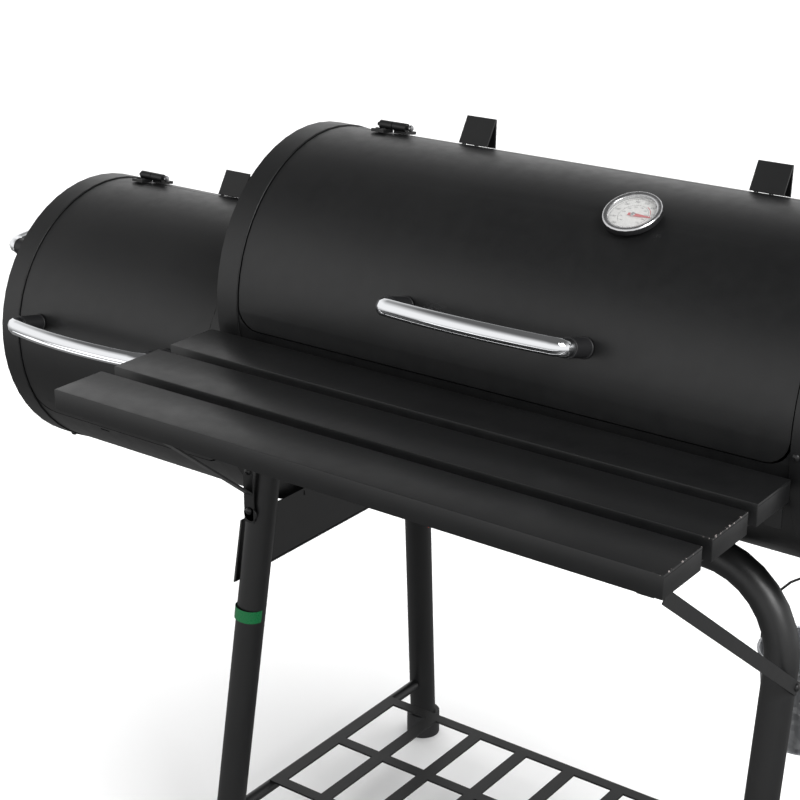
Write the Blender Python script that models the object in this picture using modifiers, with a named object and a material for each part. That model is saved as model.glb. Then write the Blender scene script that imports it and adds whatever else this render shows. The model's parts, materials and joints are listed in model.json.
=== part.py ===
"""Barrel charcoal grill with an offset firebox, front slat shelf and two wheels.

World frame: +X along the barrel away from the firebox, +Y to the back, +Z up,
origin on the floor under the middle of the whole grill's box. Metres.
"""
import math

import bmesh
import bpy
from mathutils import Matrix, Vector

# ---- driving dimensions -------------------------------------------------------------
BARREL_LENGTH = 0.782
BARREL_RADIUS = 0.190            # outside of the end caps' flanges
AXIS_HEIGHT = 0.800              # barrel axis above the floor
CAP_FLANGE = 0.031               # width of the end caps' rolled flange
FIREBOX_LENGTH = 0.397
FIREBOX_DROP = 0.126             # firebox axis below the barrel axis
SHEET = 0.0015                   # sheet steel
GAP = 0.0003                     # working gap between touching pieces
ROUND_STEPS = 54                 # facets round a barrel

BARREL_LEFT = -0.2092            # world x of the barrel's left end
AXIS_Y = 0.1007                  # world y of the barrel axis

MAIN_LID_FRONT_DEG = -7.0        # angles are measured up from the front horizontal
FIREBOX_LID_FRONT_DEG = -33.8
LID_REAR_DEG = 99.0
LID_SIDE_SEAM = 0.0022           # slot between a lid and the flanges beside it
LID_CORNER = 0.028

HANDLE_SPAN = 0.232
HANDLE_TUBE = 0.0105             # radius before the tube is pressed flat
HANDLE_FLATTEN = 0.58
HANDLE_REACH = 0.036             # length of a standoff
HANDLE_ELBOW = 0.016
HANDLE_BOW = 0.012
MAIN_HANDLE_X = 0.3934
FIREBOX_HANDLE_X = -0.2105
MAIN_HANDLE_DEG = 15.5
FIREBOX_HANDLE_DEG = 11.0
LIFT_HANDLE_Z = -0.0185
STANDOFF_RADIUS = HANDLE_TUBE + 0.0005

HINGE_LIFT = 0.009               # pin axis above the drum surface
HINGE_INSET = 0.103              # hinge centre from a barrel end
HINGE_WIDTH = 0.040
HINGE_DEG = LID_REAR_DEG + 0.15  # the hinge line lies over the seam behind the lid
HINGE_REACH = 0.020              # depth of a leaf
HINGE_PIN = 0.0025
HINGE_KNUCKLE = 0.0055
FIREBOX_HINGE_INSET = 0.082

STOP_WIDTH = 0.041
STOP_HEIGHT = 0.0345
STOP_DEPTH = 0.021
STOP_DEG = LID_REAR_DEG + 7.5
STOP_SHEET = 0.002
STOP_LEFT_X = 0.212
STOP_RIGHT_X = 0.598
FIREBOX_STOP_X = -0.185

GAUGE_X = 0.5069
GAUGE_DEG = 63.4
GAUGE_RADIUS = 0.0326            # 65 mm bezel
DIAL_RADIUS = 0.0293
STEM_RADIUS = 0.0042
STEM_LENGTH = 0.050

GRATE_TOP = -0.0277
GRATE_THICK = 0.005
GRATE_REACH = 0.180              # half depth, front to back
GRATE_BAR = 0.012
FIRE_BAR = 0.014
FIRE_GRATE_THICK = 0.004
LEDGE_LOW, LEDGE_HIGH = -0.036, -0.033

VENT_RADIUS = 0.011
VENT_CIRCLE = 0.026              # radius of the circle that the three vents lie on
AIR_DAMPER_RADIUS = 0.046
AIR_DAMPER_Z = -0.050            # below the firebox axis
RIVET_RADIUS = 0.004

LEG_TUBE = 0.019                 # radius, 38 mm tube
LEG_SPLAY = 0.125                # sideways travel of a leg per unit of height
LEFT_LEG_LEAN = 0.0555
LEFT_LEG_X = 0.0458              # leg centre at one radius below the barrel axis
LEFT_LEG_Y = 0.1559
RAIL_Y = 0.113
RAIL_Z = -0.1750
RAIL_BEND = 0.105
RIGHT_LEG_X = 0.735

WHEEL_RADIUS = 0.075
WHEEL_WIDTH = 0.030
WHEEL_Y = 0.2235
AXLE_RADIUS = 0.005

SLAT_WIDTH = 0.0733
SLAT_GAP = 0.0197
SLAT_THICK = 0.0247
SLAT_LENGTH = 0.7611
SLAT_TOP = -0.0291               # shelf top below the barrel axis
SHELF_FRONT = -0.4565
SHELF_Z = 0.095                  # storage shelf above the floor
SHELF_TUBE = 0.008

DRAIN_X = 0.690
DRAIN_RADIUS = 0.0055

BUCKET_X = 0.7163
BUCKET_RIM = -0.323
BUCKET_RADIUS = 0.058
BUCKET_BASE_RADIUS = 0.045
BUCKET_DEPTH = 0.110
BAIL_WIRE = 0.0015
BAIL_HEIGHT = 0.100

CHIMNEY_RADIUS = 0.036
CHIMNEY_Z = 0.050
CHIMNEY_TOP = 0.330
CHIMNEY_BEND = 0.045
CHIMNEY_LEVEL = 0.014            # straight run before the bend
DAMPER_PIN = 0.0025

DRUM_RADIUS = BARREL_RADIUS - SHEET - GAP
FIREBOX_LEFT = -FIREBOX_LENGTH - 2 * GAP

for leftover in list(bpy.data.objects):
    bpy.data.objects.remove(leftover, do_unlink=True)

parts = bpy.data.collections.new("charcoal_grill")
bpy.context.scene.collection.children.link(parts)


# ---- materials ----------------------------------------------------------------------
def make_material(name, colour, roughness, metallic):
    material = bpy.data.materials.new(name)
    material.use_nodes = True
    shader = material.node_tree.nodes["Principled BSDF"]
    shader.inputs["Base Color"].default_value = (*colour, 1.0)
    shader.inputs["Roughness"].default_value = roughness
    shader.inputs["Metallic"].default_value = metallic
    return material


BLACK_PAINT = make_material("black_paint", (0.022, 0.023, 0.024), 0.42, 0.0)
CHROME = make_material("chrome", (0.80, 0.80, 0.82), 0.08, 1.0)
STAINLESS = make_material("stainless", (0.72, 0.72, 0.72), 0.22, 1.0)
BLACK_PLASTIC = make_material("black_plastic", (0.015, 0.015, 0.016), 0.45, 0.0)
DIAL_WHITE = make_material("dial_white", (0.85, 0.85, 0.83), 0.5, 0.0)
POINTER_RED = make_material("pointer_red", (0.65, 0.04, 0.04), 0.4, 0.0)
CLEAR_GLASS = make_material("clear_glass", (1.0, 1.0, 1.0), 0.02, 0.0)
CAST_IRON = make_material("cast_iron", (0.05, 0.05, 0.05), 0.6, 1.0)
ZINC = make_material("zinc", (0.55, 0.56, 0.57), 0.35, 1.0)


# ---- placing and finishing ----------------------------------------------------------
def at(x, y, z):
    """World point from a place measured on the barrel: x from its left end, y and z from its axis."""
    return Vector((BARREL_LEFT + x, AXIS_Y + y, AXIS_HEIGHT + z))


def surface_frame(x, degrees, lift=0.0, drop=0.0):
    """Frame on a drum: local x along it, local y back round it, local z straight out of it."""
    angle = math.radians(degrees)
    outward = Vector((0, -math.cos(angle), math.sin(angle)))
    backward = Vector((0, math.sin(angle), math.cos(angle)))
    origin = at(x, 0, -drop) + outward * (DRUM_RADIUS + lift)
    turn = Matrix((Vector((1, 0, 0)), backward, outward)).transposed()
    return Matrix.Translation(origin) @ turn.to_4x4()


def frame_along(direction, origin):
    """Frame whose local z runs along a direction."""
    return Matrix.Translation(origin) @ Vector(direction).to_track_quat("Z", "Y").to_matrix().to_4x4()


def add_object(name, mesh):
    body = bpy.data.objects.new(name, mesh)
    parts.objects.link(body)
    return body


def finish(body, material, origin=None):
    """Give a piece its material, smooth its round faces and put its origin in place."""
    mesh = body.data
    mesh.transform(body.matrix_world)
    body.matrix_world = Matrix.Identity(4)
    if origin is None:
        corners = [Vector(corner) for corner in body.bound_box]
        origin = sum(corners, Vector()) / 8
    mesh.transform(Matrix.Translation(-Vector(origin)))
    body.location = origin
    mesh.materials.clear()
    mesh.materials.append(material)
    mesh.shade_smooth()
    mesh.set_sharp_from_angle(angle=math.radians(32))
    return body


def settle(body):
    """Apply a piece's modifiers, so that it can be cut or joined."""
    bpy.context.view_layer.update()
    graph = bpy.context.evaluated_depsgraph_get()
    mesh = bpy.data.meshes.new_from_object(body.evaluated_get(graph))
    mesh.transform(body.matrix_world)
    body.modifiers.clear()
    body.data = mesh
    body.matrix_world = Matrix.Identity(4)
    return body


def combine(body, other, operation):
    modifier = body.modifiers.new(operation.lower(), "BOOLEAN")
    modifier.operation = operation
    modifier.solver = "EXACT"
    modifier.object = other
    settle(body)
    bpy.data.objects.remove(other, do_unlink=True)
    return body


def cut(body, *tools):
    for tool in tools:
        combine(body, tool, "DIFFERENCE")
    return body


def join(body, *others):
    for other in others:
        combine(body, other, "UNION")
    return body


def keep_inside(body, tool):
    return combine(body, tool, "INTERSECT")


# ---- shapes -------------------------------------------------------------------------
def block(name, low, high, frame=Matrix.Identity(4)):
    """Box between two corners of a frame."""
    low, high = Vector(low), Vector(high)
    shape = bmesh.new()
    bmesh.ops.create_cube(shape, size=1.0)
    size = Matrix.Diagonal((*(high - low), 1.0))
    place = frame @ Matrix.Translation((low + high) / 2)
    bmesh.ops.transform(shape, matrix=place @ size, verts=shape.verts)
    mesh = bpy.data.meshes.new(name)
    shape.to_mesh(mesh)
    shape.free()
    return add_object(name, mesh)


def rod(name, start, end, radius, segments=24):
    """Round bar between two points."""
    start, end = Vector(start), Vector(end)
    shape = bmesh.new()
    bmesh.ops.create_cone(shape, cap_ends=True, segments=segments, radius1=radius, radius2=radius,
                          depth=(end - start).length)
    bmesh.ops.transform(shape, matrix=frame_along(end - start, (start + end) / 2), verts=shape.verts)
    mesh = bpy.data.meshes.new(name)
    shape.to_mesh(mesh)
    shape.free()
    return add_object(name, mesh)


def turned(name, profile, frame, steps, closed=False):
    """Turn a profile of (radius, height) points about the frame's z axis."""
    mesh = bpy.data.meshes.new(name)
    edges = [(i, i + 1) for i in range(len(profile) - 1)]
    if closed:
        edges.append((len(profile) - 1, 0))
    mesh.from_pydata([(radius, 0, height) for radius, height in profile], edges, [])
    body = add_object(name, mesh)
    screw = body.modifiers.new("turn", "SCREW")
    screw.axis = "Z"
    screw.steps = steps
    screw.render_steps = steps
    screw.use_merge_vertices = True
    screw.merge_threshold = 0.00001
    screw.use_normal_calculate = False
    body.matrix_world = frame
    return settle(body)


def prism(name, outline, low, high, frame=Matrix.Identity(4)):
    """Flat outline of (x, y) points, solid from low to high along the frame's z axis."""
    data = bpy.data.curves.new(name, "CURVE")
    data.dimensions = "2D"
    data.fill_mode = "BOTH"
    data.extrude = (high - low) / 2
    spline = data.splines.new("POLY")
    spline.points.add(len(outline) - 1)
    for point, (x, y) in zip(spline.points, outline):
        point.co = (x, y, 0, 1)
    spline.use_cyclic_u = True
    return curve_to_mesh(name, data, frame @ Matrix.Translation((0, 0, (low + high) / 2)))


def pipe(name, points, radius, resolution=2, frame=Matrix.Identity(4)):
    """Round tube with closed ends through a list of points."""
    data = bpy.data.curves.new(name, "CURVE")
    data.dimensions = "3D"
    data.bevel_depth = radius
    data.bevel_resolution = resolution
    data.use_fill_caps = True
    spline = data.splines.new("POLY")
    spline.points.add(len(points) - 1)
    for point, place in zip(spline.points, points):
        point.co = (*place, 1)
    return curve_to_mesh(name, data, frame)


def curve_to_mesh(name, data, frame):
    source = add_object(name + "_curve", data)
    source.matrix_world = frame
    bpy.context.view_layer.update()
    graph = bpy.context.evaluated_depsgraph_get()
    mesh = bpy.data.meshes.new_from_object(source.evaluated_get(graph))
    mesh.transform(source.matrix_world)
    bpy.data.objects.remove(source, do_unlink=True)
    shape = bmesh.new()
    shape.from_mesh(mesh)
    bmesh.ops.remove_doubles(shape, verts=shape.verts, dist=0.00001)
    bmesh.ops.recalc_face_normals(shape, faces=shape.faces)
    shape.to_mesh(mesh)
    shape.free()
    return add_object(name, mesh)


def slotted_plate(name, x_cuts, y_cuts, thickness, centre):
    """Flat grate: bars run where either list of cuts says solid, slots are left where both say open."""
    shape = bmesh.new()
    xs = [x for x, _ in x_cuts]
    ys = [y for y, _ in y_cuts]
    grid = [[shape.verts.new((x, y, -thickness / 2)) for y in ys] for x in xs]
    for i in range(len(xs) - 1):
        for j in range(len(ys) - 1):
            if x_cuts[i][1] or y_cuts[j][1]:
                shape.faces.new((grid[i][j], grid[i + 1][j], grid[i + 1][j + 1], grid[i][j + 1]))
    mesh = bpy.data.meshes.new(name)
    shape.to_mesh(mesh)
    shape.free()
    body = add_object(name, mesh)
    solid = body.modifiers.new("thickness", "SOLIDIFY")
    solid.thickness = thickness
    solid.offset = 1.0
    body.matrix_world = Matrix.Translation(centre)
    return settle(body)


def bar_cuts(low, high, bars, bar_width):
    """Start points of equally spaced bars and the slots between them; True marks a bar."""
    pitch = (high - low - bar_width) / (bars - 1)
    cuts = []
    for i in range(bars):
        cuts.append((low + i * pitch, True))
        cuts.append((low + i * pitch + bar_width, False))
    return cuts


# ---- drums, end caps and lids -------------------------------------------------------
def drum_tube(name, left, right, drop):
    """Whole rolled tube of a drum, before its lid is cut out."""
    half = (right - left) / 2
    inner = DRUM_RADIUS - SHEET
    profile = [(DRUM_RADIUS, half), (DRUM_RADIUS, -half), (inner, -half), (inner, half)]
    frame = frame_along((1, 0, 0), at((left + right) / 2, 0, -drop))
    return turned(name, profile, frame, ROUND_STEPS, closed=True)


def lid_wedge(left, right, drop, front_degrees, rear_degrees):
    """Solid that takes the lid out of a drum; its two front edges are rounded."""
    inner, outer = 0.10, 0.30
    sweep = [math.radians(front_degrees + (rear_degrees - front_degrees) * i / 4) for i in range(5)]
    outline = [(-inner * math.cos(sweep[0]), inner * math.sin(sweep[0]))]
    outline += [(-outer * math.cos(angle), outer * math.sin(angle)) for angle in sweep]
    outline += [(-inner * math.cos(sweep[-1]), inner * math.sin(sweep[-1]))]
    turn = Matrix(((0, 0, 1), (1, 0, 0), (0, 1, 0))).to_4x4()
    wedge = prism("lid_wedge", outline, left, right, Matrix.Translation(at(0, 0, -drop)) @ turn)
    shape = bmesh.new()
    shape.from_mesh(wedge.data)
    bmesh.ops.dissolve_limit(shape, angle_limit=0.001, verts=shape.verts, edges=shape.edges)
    front = Vector((0, -math.cos(sweep[0]), math.sin(sweep[0])))
    corners = []
    for edge in shape.edges:
        run = edge.verts[1].co - edge.verts[0].co
        middle = (edge.verts[1].co + edge.verts[0].co) / 2 - at(0, 0, -drop)
        if abs(run.normalized().dot(front)) > 0.999 and abs(middle.normalized().dot(front)) > 0.2:
            if (middle - front * middle.dot(front)).yz.length < 0.001:
                corners.append(edge)
    bmesh.ops.bevel(shape, geom=corners, offset=LID_CORNER, segments=5, profile=0.5, affect="EDGES")
    shape.to_mesh(wedge.data)
    shape.free()
    return wedge


def end_cap(name, x, drop, outward):
    """Pressed end cap: a disc with a flange round the drum."""
    inner = BARREL_RADIUS - SHEET
    profile = [(0, 0), (BARREL_RADIUS, 0), (BARREL_RADIUS, -CAP_FLANGE), (inner, -CAP_FLANGE), (inner, -SHEET),
               (0, -SHEET)]
    frame = frame_along((outward, 0, 0), at(x, 0, -drop))
    return turned(name, profile, frame, ROUND_STEPS)


def fire_opening():
    """Cutter for the way through between the firebox and the barrel."""
    return block("fire_opening", at(-0.02, -0.090, -0.150), at(0.02, 0.090, -0.050))


def make_drum(body_name, lid_name, left, right, drop, front_degrees):
    """A drum between its caps, and the lid cut out of it."""
    shell_left = left + SHEET + GAP
    shell_right = right - SHEET - GAP
    lid_left = left + CAP_FLANGE
    lid_right = right - CAP_FLANGE
    body = drum_tube(body_name, shell_left, shell_right, drop)
    cut(body, lid_wedge(lid_left, lid_right, drop, front_degrees - 0.5, LID_REAR_DEG + 0.3))
    lid = drum_tube(lid_name, shell_left, shell_right, drop)
    seam = LID_SIDE_SEAM
    keep_inside(lid, lid_wedge(lid_left + seam, lid_right - seam, drop, front_degrees, LID_REAR_DEG))
    return body, lid


def hinge_axis(drop):
    """Point and frame angle of a lid's hinge line."""
    return surface_frame(0, HINGE_DEG, HINGE_LIFT, drop).translation


def make_hinge(prefix, x, drop, lid_parent):
    """Two-leaf hinge: the lid's leaf has the hollow knuckle, the body's leaf carries the pin."""
    frame = surface_frame(x, HINGE_DEG, 0.0, drop)
    half = HINGE_WIDTH / 2
    leaf_low, leaf_high = 0.0006, 0.0044
    side_gap = 0.001
    pin = Vector((0, 0, HINGE_LIFT))

    def place(along):
        return frame @ (pin + Vector((along, 0, 0)))

    lid_leaf = block(prefix + "_lid_leaf", (-half, -HINGE_REACH, leaf_low), (-side_gap, 0.0, leaf_high), frame)
    join(lid_leaf, rod("knuckle", place(-half), place(-side_gap), HINGE_KNUCKLE, 12))
    cut(lid_leaf, rod("bore", place(-half - 0.01), place(0.01), HINGE_PIN + GAP, 10))
    body_leaf = block(prefix + "_body_leaf", (0.0, 0.0, leaf_low), (half, HINGE_REACH, leaf_high), frame)
    join(body_leaf, rod("knuckle", place(0.0), place(half), HINGE_KNUCKLE, 12))
    join(body_leaf, rod("pin", place(-half - 0.004), place(half + 0.005), HINGE_PIN, 10))
    finish(lid_leaf, BLACK_PAINT)
    finish(body_leaf, BLACK_PAINT)
    ride(lid_leaf, lid_parent)


def make_lid_stop(name, x, drop):
    """Folded tent of sheet standing behind the hinge line, which the open lid leans on."""
    foot, crest = STOP_DEPTH / 2, 0.0016
    outline = [(-foot, 0.0), (-crest, STOP_HEIGHT), (crest, STOP_HEIGHT), (foot, 0.0), (foot - STOP_SHEET, 0.0),
               (0.0, STOP_HEIGHT - 2 * STOP_SHEET), (STOP_SHEET - foot, 0.0)]
    frame = surface_frame(x, STOP_DEG, 2 * GAP, drop)
    turn = Matrix(((0, 0, 1), (1, 0, 0), (0, 1, 0))).to_4x4()
    finish(prism(name, outline, -STOP_WIDTH / 2, STOP_WIDTH / 2, frame @ turn), BLACK_PAINT)


def make_handle(prefix, ends, frame, parent=None):
    """Bowed, flattened tube on two standoffs; local x runs along it and local z away from the sheet."""
    half = HANDLE_SPAN / 2
    straight = half - HANDLE_ELBOW
    sleeve = 0.002
    path = [(-half, 0.0)]
    for i in range(5):
        turn = math.radians(90 * i / 4)
        path.append((-half + HANDLE_ELBOW * (1 - math.cos(turn)), sleeve + HANDLE_ELBOW * math.sin(turn)))
    for i in range(1, 5):
        along = -straight + straight * i / 4
        path.append((along, sleeve + HANDLE_ELBOW + HANDLE_BOW * (1 - (along / straight) ** 2)))
    path += [(-along, out) for along, out in reversed(path[:-1])]
    points = [(along, 0, out / HANDLE_FLATTEN) for along, out in path]
    base = HANDLE_REACH + GAP
    flatten = Matrix.Translation((0, 0, base)) @ Matrix.Diagonal((1, 1, HANDLE_FLATTEN, 1))
    bar = pipe(prefix + "_bar", points, HANDLE_TUBE, 3, frame @ flatten)
    finish(bar, CHROME)
    ride(bar, parent)
    for side, end in zip((-1, 1), ends):
        start = frame @ Vector((side * half, 0, 0.0008))
        stop = frame @ Vector((side * half, 0, HANDLE_REACH))
        standoff = rod(prefix + "_standoff_" + end, start, stop, STANDOFF_RADIUS, 20)
        finish(standoff, BLACK_PLASTIC)
        ride(standoff, parent)


def pivot(name, place):
    """Empty on a joint's axis; the pieces that move about it are its children."""
    empty = bpy.data.objects.new(name, None)
    empty.location = place
    empty.empty_display_size = 0.03
    parts.objects.link(empty)
    return empty


def ride(body, parent):
    if parent is not None:
        body.parent = parent
        body.location = body.location - parent.location


# ---- main barrel --------------------------------------------------------------------
def main_barrel():
    body, lid = make_drum("main_barrel_body", "main_lid", 0, BARREL_LENGTH, 0, MAIN_LID_FRONT_DEG)
    for side in (-1, 1):
        near, far = sorted((side * 0.165, side * 0.1845))
        join(body, block("ledge", at(0.050, near, LEDGE_LOW), at(0.732, far, LEDGE_HIGH)))
    cut(body, rod("drain", at(DRAIN_X, 0, -0.21), at(DRAIN_X, 0, -0.15), DRAIN_RADIUS, 16))
    finish(body, BLACK_PAINT)

    left_cap = cut(end_cap("main_end_cap_left", 0, 0, -1), fire_opening())
    finish(left_cap, BLACK_PAINT)
    right_cap = end_cap("main_end_cap_right", BARREL_LENGTH, 0, 1)
    cut(right_cap, rod("flue", at(BARREL_LENGTH - 0.02, 0, CHIMNEY_Z),
                       at(BARREL_LENGTH + 0.02, 0, CHIMNEY_Z), CHIMNEY_RADIUS - SHEET))
    finish(right_cap, BLACK_PAINT)

    hinge_line = hinge_axis(0)
    lid_pivot = pivot("main_lid_pivot", (at(BARREL_LENGTH / 2, 0, 0).x, hinge_line.y, hinge_line.z))
    gauge = surface_frame(GAUGE_X, GAUGE_DEG)
    cut(lid, rod("stem_hole", gauge @ Vector((0, 0, -0.02)), gauge @ Vector((0, 0, 0.02)),
                 STEM_RADIUS + 2 * GAP, 16))
    finish(lid, BLACK_PAINT)
    ride(lid, lid_pivot)
    handle_frame = surface_frame(MAIN_HANDLE_X, MAIN_HANDLE_DEG)
    make_handle("main_handle", ("left", "right"), handle_frame, lid_pivot)
    make_thermometer(gauge, lid_pivot)
    make_hinge("main_hinge_left", HINGE_INSET, 0, lid_pivot)
    make_hinge("main_hinge_right", BARREL_LENGTH - HINGE_INSET, 0, lid_pivot)
    make_lid_stop("main_lid_stop_left", STOP_LEFT_X, 0)
    make_lid_stop("main_lid_stop_right", STOP_RIGHT_X, 0)


def make_thermometer(frame, parent):
    """Bimetal gauge: turned case with its stem, dial, needle and glass."""
    case = [(0, 0.0035), (DIAL_RADIUS + 0.0005, 0.0035), (DIAL_RADIUS + 0.0005, 0.0110),
            (GAUGE_RADIUS - 0.0008, 0.0110), (GAUGE_RADIUS, 0.0098), (GAUGE_RADIUS - 0.0008, 0.0030),
            (0.0280, 0.0012), (STEM_RADIUS, 0.0012), (STEM_RADIUS, 0.002 - STEM_LENGTH),
            (0.6 * STEM_RADIUS, -STEM_LENGTH), (0, -STEM_LENGTH)]
    finish(turned("thermometer_case", case, frame, 24), STAINLESS, frame.translation)
    dial = [(0, 0.0043), (DIAL_RADIUS, 0.0043), (DIAL_RADIUS, 0.0038), (0, 0.0038)]
    finish(turned("thermometer_dial", dial, frame, 24), DIAL_WHITE, frame.translation)
    glass = [(0, 0.0102), (DIAL_RADIUS, 0.0102), (DIAL_RADIUS, 0.0090), (0, 0.0090)]
    finish(turned("thermometer_glass", glass, frame, 24), CLEAR_GLASS, frame.translation)
    needle = [(-0.0060, -0.0016), (0.0020, -0.0022), (0.0210, -0.0005), (0.0210, 0.0005), (0.0020, 0.0022),
              (-0.0060, 0.0016)]
    pointer = prism("thermometer_pointer", needle, 0.0052, 0.0060, frame)
    finish(pointer, POINTER_RED, frame.translation)
    for name in ("thermometer_case", "thermometer_dial", "thermometer_glass", "thermometer_pointer"):
        ride(bpy.data.objects[name], parent)


# ---- grates -------------------------------------------------------------------------
def grates():
    depth_cuts = bar_cuts(-GRATE_REACH, GRATE_REACH, 3, GRATE_BAR)
    for name, left, right in (("cooking_grate_left", 0.036, 0.388), ("cooking_grate_right", 0.394, 0.746)):
        middle = at((left + right) / 2, 0, GRATE_TOP - GRATE_THICK / 2)
        reach = (right - left) / 2
        width_cuts = bar_cuts(-reach, reach, 11, GRATE_BAR)
        finish(slotted_plate(name, width_cuts, depth_cuts, GRATE_THICK, middle), CAST_IRON)
    for name, reach, bars, depth, middle in (
            ("charcoal_grate", 0.340, 12, 0.152, at(BARREL_LENGTH / 2, 0, -0.103)),
            ("firebox_grate", 0.185, 7, 0.158, at(FIREBOX_LEFT / 2, 0, -FIREBOX_DROP - 0.090))):
        width_cuts = bar_cuts(-reach, reach, bars, FIRE_BAR)
        depth_cuts = bar_cuts(-depth, depth, 3, GRATE_BAR)
        finish(slotted_plate(name, width_cuts, depth_cuts, FIRE_GRATE_THICK, middle), CAST_IRON)


# ---- firebox ------------------------------------------------------------------------
def firebox():
    left, right = FIREBOX_LEFT, -2 * GAP
    body, lid = make_drum("firebox_body", "firebox_lid", left, right, FIREBOX_DROP, FIREBOX_LID_FRONT_DEG)
    slot_frame = surface_frame(-0.2500, -36.4, 0, FIREBOX_DROP)
    cut(body, block("slot", (-0.008, -0.0015, -0.01), (0.008, 0.0015, 0.01), slot_frame))
    finish(body, BLACK_PAINT)
    finish(cut(end_cap("firebox_end_cap_right", right, FIREBOX_DROP, 1), fire_opening()), BLACK_PAINT)

    left_cap = end_cap("firebox_end_cap_left", left, FIREBOX_DROP, -1)
    damper_centre = at(left, 0, -FIREBOX_DROP + AIR_DAMPER_Z)
    along = Vector((1, 0, 0))
    through = along * 0.010
    cut(left_cap, rod("rivet_hole", damper_centre - through, damper_centre + through, RIVET_RADIUS + GAP, 16))
    for hole in vent_centres(damper_centre, 0):
        cut(left_cap, rod("vent", hole - through, hole + through, VENT_RADIUS, 14))
    finish(left_cap, BLACK_PAINT)

    face = damper_centre - along * GAP
    damper = rod("air_damper", face - along * SHEET, face, AIR_DAMPER_RADIUS, 32)
    for hole in vent_centres(face, 30):
        cut(damper, rod("vent", hole - through, hole + through, VENT_RADIUS, 14))
    join(damper, rod("rivet", face - along * 0.006, face + along * 0.007, RIVET_RADIUS, 16))
    knob = face + Vector((0, 0, -0.038))
    join(damper, rod("knob", knob - along * 0.012, knob - along * 0.001, 0.004, 12))
    finish(damper, BLACK_PAINT, face)

    hinge_line = hinge_axis(FIREBOX_DROP)
    lid_pivot = pivot("firebox_lid_pivot", (BARREL_LEFT + left / 2, hinge_line.y, hinge_line.z))
    finish(lid, BLACK_PAINT)
    ride(lid, lid_pivot)
    handle_frame = surface_frame(FIREBOX_HANDLE_X, FIREBOX_HANDLE_DEG, 0, FIREBOX_DROP)
    make_handle("firebox_handle", ("left", "right"), handle_frame, lid_pivot)
    make_hinge("firebox_hinge_left", left + FIREBOX_HINGE_INSET, FIREBOX_DROP, lid_pivot)
    make_hinge("firebox_hinge_right", -FIREBOX_HINGE_INSET, FIREBOX_DROP, lid_pivot)
    make_lid_stop("firebox_lid_stop", FIREBOX_STOP_X, FIREBOX_DROP)

    turn = Matrix(((0, 0, -1), (1, 0, 0), (0, -1, 0))).to_4x4()
    lift_frame = Matrix.Translation(at(left, 0, LIFT_HANDLE_Z)) @ turn
    make_handle("lift_handle", ("front", "rear"), lift_frame)


def vent_centres(centre, first_degrees):
    """Three holes on a circle in an end face."""
    angles = [math.radians(first_degrees + 60 + 120 * i) for i in range(3)]
    return [centre + VENT_CIRCLE * Vector((0, math.cos(angle), math.sin(angle))) for angle in angles]


# ---- chimney ------------------------------------------------------------------------
def chimney():
    start = BARREL_LENGTH + GAP
    axis_x = start + CHIMNEY_LEVEL + CHIMNEY_BEND
    path = [at(start, 0, CHIMNEY_Z)]
    for i in range(6):
        turn = math.radians(90 * i / 5)
        path.append(at(start + CHIMNEY_LEVEL + CHIMNEY_BEND * math.sin(turn), 0,
                       CHIMNEY_Z + CHIMNEY_BEND * (1 - math.cos(turn))))
    path.append(at(axis_x, 0, CHIMNEY_TOP))
    inner_path = [path[0] - Vector((0.01, 0, 0))] + path[1:-1] + [path[-1] + Vector((0, 0, 0.01))]
    stack = pipe("chimney_pipe", path, CHIMNEY_RADIUS, 7)
    join(stack, rod("flange", at(start, 0, CHIMNEY_Z), at(start + 0.0025, 0, CHIMNEY_Z),
                    CHIMNEY_RADIUS + 0.014, 28))
    lug_x = axis_x + CHIMNEY_RADIUS + 0.004
    lug_top = CHIMNEY_TOP - 0.001
    join(stack, block("lug", at(axis_x + CHIMNEY_RADIUS - 0.004, -0.007, lug_top - 0.006),
                      at(lug_x + 0.007, 0.007, lug_top)))
    cut(stack, pipe("flue", inner_path, CHIMNEY_RADIUS - SHEET, 7))
    cut(stack, rod("pin_hole", at(lug_x, 0, lug_top - 0.02), at(lug_x, 0, lug_top + 0.02),
                   DAMPER_PIN + GAP, 12))
    finish(stack, BLACK_PAINT)

    low = CHIMNEY_TOP + GAP
    damper = rod("chimney_damper", at(axis_x, 0, low), at(axis_x, 0, low + 0.002), CHIMNEY_RADIUS, 32)
    join(damper, block("ear", at(axis_x + CHIMNEY_RADIUS - 0.008, -0.006, low),
                       at(lug_x + 0.006, 0.006, low + 0.002)))
    join(damper, rod("pin", at(lug_x, 0, lug_top - 0.010), at(lug_x, 0, low + 0.006), DAMPER_PIN, 12))
    tab_x = axis_x - CHIMNEY_RADIUS + 0.004
    join(damper, block("tab", at(tab_x, -0.008, low + 0.0005), at(tab_x + 0.002, 0.008, low + 0.014)))
    finish(damper, BLACK_PAINT, at(lug_x, 0, low))


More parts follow.
